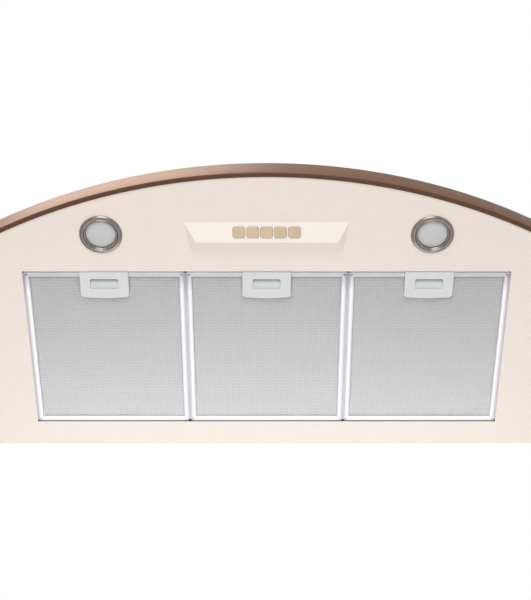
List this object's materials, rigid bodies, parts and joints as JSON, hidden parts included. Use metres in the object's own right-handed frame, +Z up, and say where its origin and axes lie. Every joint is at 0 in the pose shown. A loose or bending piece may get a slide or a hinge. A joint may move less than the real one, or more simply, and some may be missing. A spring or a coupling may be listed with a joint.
{
  "type": "under cabinet range hood",
  "caption": "Under-cabinet range hood with a bowed front and trim rail, hinged mesh grease filters, round lamps, push buttons, a centrifugal blower and a round top duct collar.",
  "frame": {"origin": "on the top face, on the duct's axis, at the centre of the four cabinet screw holes", "axes": "+Z up through the duct collar, -Y to the bowed front, +Y to the wall, +X to the right seen from the front"},
  "size_m": [0.9, 0.5099, 0.222],
  "materials": {
    "cream_paint": "satin",
    "zinc_sheet": "satin",
    "bronze_trim": "satin",
    "filter_aluminium": "satin",
    "filter_mesh": "satin",
    "handle_plastic": "satin",
    "latch_plastic": "satin",
    "chrome_ring": "polished",
    "frosted_glass": "satin",
    "lamp_can_aluminium": "satin",
    "lamp_ceramic": "matte",
    "clear_glass": "gloss",
    "cream_plastic": "satin",
    "gold_buttons": "satin",
    "black_plastic": "matte",
    "steel": "satin",
    "motor_paint": "satin",
    "flap_aluminium": "satin",
    "white_plastic": "satin",
    "gland_rubber": "matte",
    "lead_plastic": "satin"
  },
  "bodies": {
    "hood": {"back_panel": "zinc_sheet", "cable_gland": "gland_rubber", "canopy": "cream_paint", "control_housing": "cream_plastic", "damper_rod": "steel", "duct_collar": "zinc_sheet", "front_rail": "bronze_trim", "junction_box": "zinc_sheet", "junction_cover": "zinc_sheet", "lamp_bulb_left": "clear_glass", "lamp_bulb_right": "clear_glass", "lamp_can_left": "lamp_can_aluminium", "lamp_can_right": "lamp_can_aluminium", "lamp_lead": "lead_plastic", "lamp_lens_left": "frosted_glass", "lamp_lens_right": "frosted_glass", "lamp_link_lead": "lead_plastic", "lamp_ring_left": "chrome_ring", "lamp_ring_right": "chrome_ring", "lamp_socket_left": "lamp_ceramic", "lamp_socket_right": "lamp_ceramic", "lamp_transformer": "black_plastic", "lead_clips": "white_plastic", "motor": "motor_paint", "motor_bracket": "zinc_sheet", "motor_lead": "lead_plastic", "pan_head_screws": "steel", "run_capacitor": "white_plastic", "scroll_side_left": "zinc_sheet", "scroll_side_right": "zinc_sheet", "scroll_wrap": "zinc_sheet", "side_rail_left": "bronze_trim", "side_rail_right": "bronze_trim", "switch_bank": "black_plastic", "switch_lead": "lead_plastic", "terminal_block": "white_plastic", "top_plate": "zinc_sheet", "transformer_lead": "lead_plastic", "underside_panel": "cream_paint"},
    "filter_left": {"filter_frame_left": "filter_aluminium", "filter_mesh_left": "filter_mesh", "filter_handle_left": "handle_plastic"},
    "latch_left": {"filter_latch_left": "latch_plastic"},
    "filter_centre": {"filter_frame_centre": "filter_aluminium", "filter_mesh_centre": "filter_mesh", "filter_handle_centre": "handle_plastic"},
    "latch_centre": {"filter_latch_centre": "latch_plastic"},
    "filter_right": {"filter_frame_right": "filter_aluminium", "filter_mesh_right": "filter_mesh", "filter_handle_right": "handle_plastic"},
    "latch_right": {"filter_latch_right": "latch_plastic"},
    "push_button_1": {"button_1": "gold_buttons"},
    "push_button_2": {"button_2": "gold_buttons"},
    "push_button_3": {"button_3": "gold_buttons"},
    "push_button_4": {"button_4": "gold_buttons"},
    "push_button_5": {"button_5": "gold_buttons"},
    "blower_rotor": {"impeller": "black_plastic", "motor_shaft": "steel"},
    "flap_front": {"damper_flap_front": "flap_aluminium"},
    "flap_rear": {"damper_flap_rear": "flap_aluminium"}
  },
  "joints": [
    {"name": "filter_left_hinge", "type": "hinge", "parent": "hood", "child": "filter_left", "pos_m": [0, 0.1145, -0.165], "axis": [1, 0, 0], "range_deg": [0, 80]},
    {"name": "latch_left_slide", "type": "slide", "parent": "filter_left", "child": "latch_left", "axis": [0, 1, 0], "range_m": [0, 0.008], "stiffness_N_per_m": 300, "springref_m": -0.003},
    {"name": "filter_centre_hinge", "type": "hinge", "parent": "hood", "child": "filter_centre", "pos_m": [0, 0.1145, -0.165], "axis": [1, 0, 0], "range_deg": [0, 80]},
    {"name": "latch_centre_slide", "type": "slide", "parent": "filter_centre", "child": "latch_centre", "axis": [0, 1, 0], "range_m": [0, 0.008], "stiffness_N_per_m": 300, "springref_m": -0.003},
    {"name": "filter_right_hinge", "type": "hinge", "parent": "hood", "child": "filter_right", "pos_m": [0, 0.1145, -0.165], "axis": [1, 0, 0], "range_deg": [0, 80]},
    {"name": "latch_right_slide", "type": "slide", "parent": "filter_right", "child": "latch_right", "axis": [0, 1, 0], "range_m": [0, 0.008], "stiffness_N_per_m": 300, "springref_m": -0.003},
    {"name": "button_1_press", "type": "slide", "parent": "hood", "child": "push_button_1", "axis": [0, 0.3824, 0.924], "range_m": [0, 0.003], "stiffness_N_per_m": 400, "springref_m": -0.002},
    {"name": "button_2_press", "type": "slide", "parent": "hood", "child": "push_button_2", "axis": [0, 0.3824, 0.924], "range_m": [0, 0.003], "stiffness_N_per_m": 400, "springref_m": -0.002},
    {"name": "button_3_press", "type": "slide", "parent": "hood", "child": "push_button_3", "axis": [0, 0.3824, 0.924], "range_m": [0, 0.003], "stiffness_N_per_m": 400, "springref_m": -0.002},
    {"name": "button_4_press", "type": "slide", "parent": "hood", "child": "push_button_4", "axis": [0, 0.3824, 0.924], "range_m": [0, 0.003], "stiffness_N_per_m": 400, "springref_m": -0.002},
    {"name": "button_5_press", "type": "slide", "parent": "hood", "child": "push_button_5", "axis": [0, 0.3824, 0.924], "range_m": [0, 0.003], "stiffness_N_per_m": 400, "springref_m": -0.002},
    {"name": "rotor_spin", "type": "hinge", "parent": "hood", "child": "blower_rotor", "pos_m": [0, 0.033, -0.078], "axis": [-1, 0, 0], "continuous": true},
    {"name": "flap_front_swing", "type": "hinge", "parent": "hood", "child": "flap_front", "pos_m": [0, 0, 0.0165], "axis": [-1, 0, 0], "range_deg": [0, 78]},
    {"name": "flap_rear_swing", "type": "hinge", "parent": "hood", "child": "flap_rear", "pos_m": [0, 0, 0.0165], "axis": [1, 0, 0], "range_deg": [0, 78]}
  ]
}
